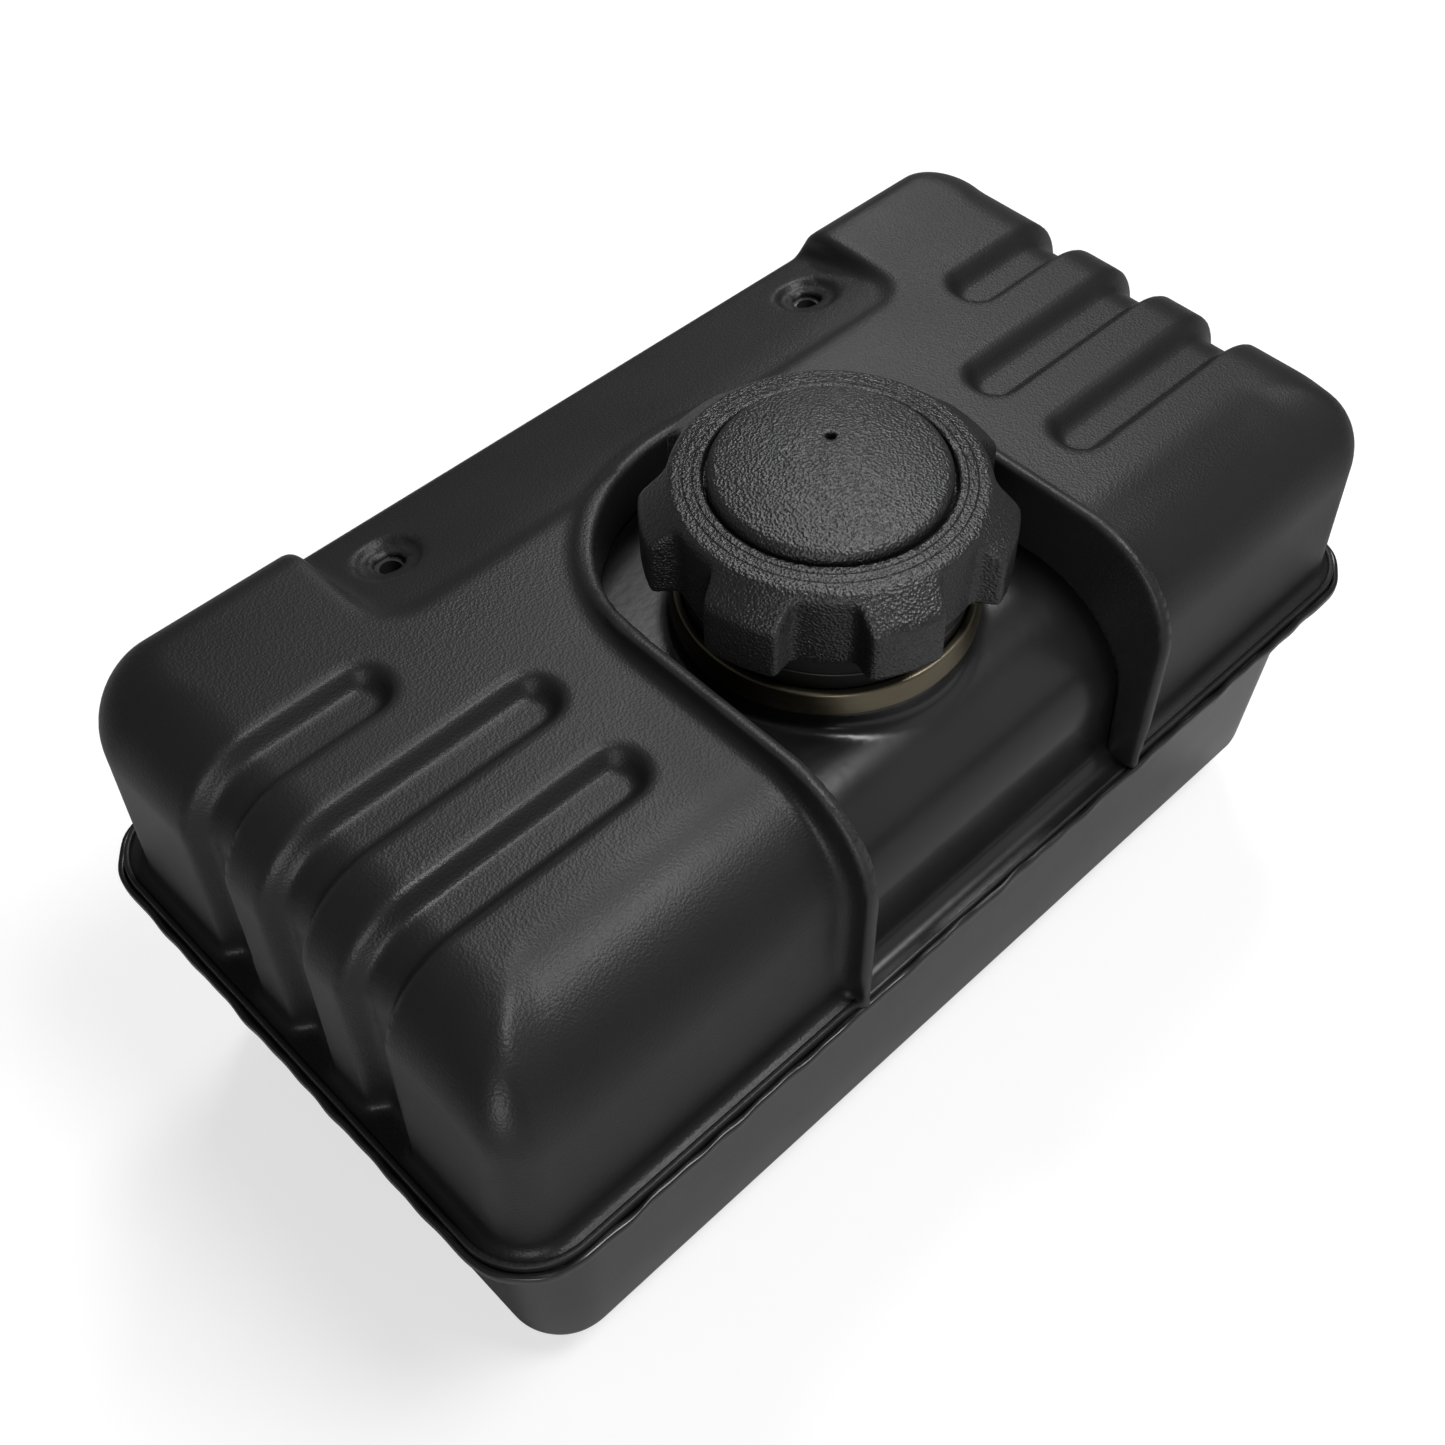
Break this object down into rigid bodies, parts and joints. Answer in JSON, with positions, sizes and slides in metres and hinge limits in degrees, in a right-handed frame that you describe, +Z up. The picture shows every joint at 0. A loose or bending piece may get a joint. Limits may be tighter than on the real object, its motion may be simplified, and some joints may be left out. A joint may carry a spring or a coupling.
{
  "type": "small engine fuel tank",
  "caption": "Black steel small engine fuel tank under a moulded plastic cover with end grooves, screw cap and strainer, rear fuel outlet and welded feet.",
  "frame": {"origin": "middle of the four mounting holes, in the underside of the two feet", "axes": "+X along the tank to its right end, +Y to the back where the outlet is, +Z up through the filler neck"},
  "size_m": [0.2758, 0.1681, 0.1651],
  "materials": {
    "black_steel": "smooth semi-gloss black paint on pressed steel",
    "cover_plastic": "fine pebbled black moulding, satin",
    "cap_plastic": "coarser pebbled black moulding, satin",
    "collar_steel": "satin olive-brown passivated ring",
    "plated_steel": "bright zinc plate",
    "outlet_brass": "turned, satin",
    "washer_aluminium": "soft sealing washer, satin",
    "strainer_plastic": "natural translucent moulding",
    "strainer_mesh": "woven strainer cloth",
    "screen_plastic": "moulded screen with woven cloth",
    "vent_plastic": "plain moulding",
    "gasket_rubber": "soft nitrile ring",
    "foam": "open-cell foam"
  },
  "bodies": {
    "tank": {"lower_shell": "black_steel", "upper_shell": "black_steel", "top_cover": "cover_plastic", "cover_post_left": "black_steel", "cover_post_right": "black_steel", "cover_pad_left": "foam", "cover_pad_right": "foam", "filler_neck": "black_steel", "neck_collar": "collar_steel", "strainer_basket": "strainer_plastic", "strainer_mesh": "strainer_mesh", "outlet_bush": "plated_steel", "outlet_washer": "washer_aluminium", "outlet_fitting": "outlet_brass", "outlet_screen": "screen_plastic", "mount_bracket_left": "black_steel", "mount_bracket_right": "black_steel", "mount_nuts": "plated_steel"},
    "cap_seal": {"cap_gasket": "gasket_rubber"},
    "cap": {"cap_shell": "cap_plastic", "cap_dome": "cap_plastic", "cap_vent_cup": "vent_plastic", "cap_vent_foam": "foam"}
  },
  "joints": [
    {"name": "cap_lift", "type": "slide", "parent": "tank", "child": "cap_seal", "axis": [0, 0, 1], "range_m": [0, 0.014]},
    {"name": "cap_turn", "type": "hinge", "parent": "cap_seal", "child": "cap", "pos_m": [0, -0.0164, 0.1405], "axis": [0, 0, 1], "range_deg": [0, 1000]}
  ],
  "couplings": [
    {"joint": "cap_lift", "follows": "cap_turn", "m_per_rad": 0.00079577}
  ]
}
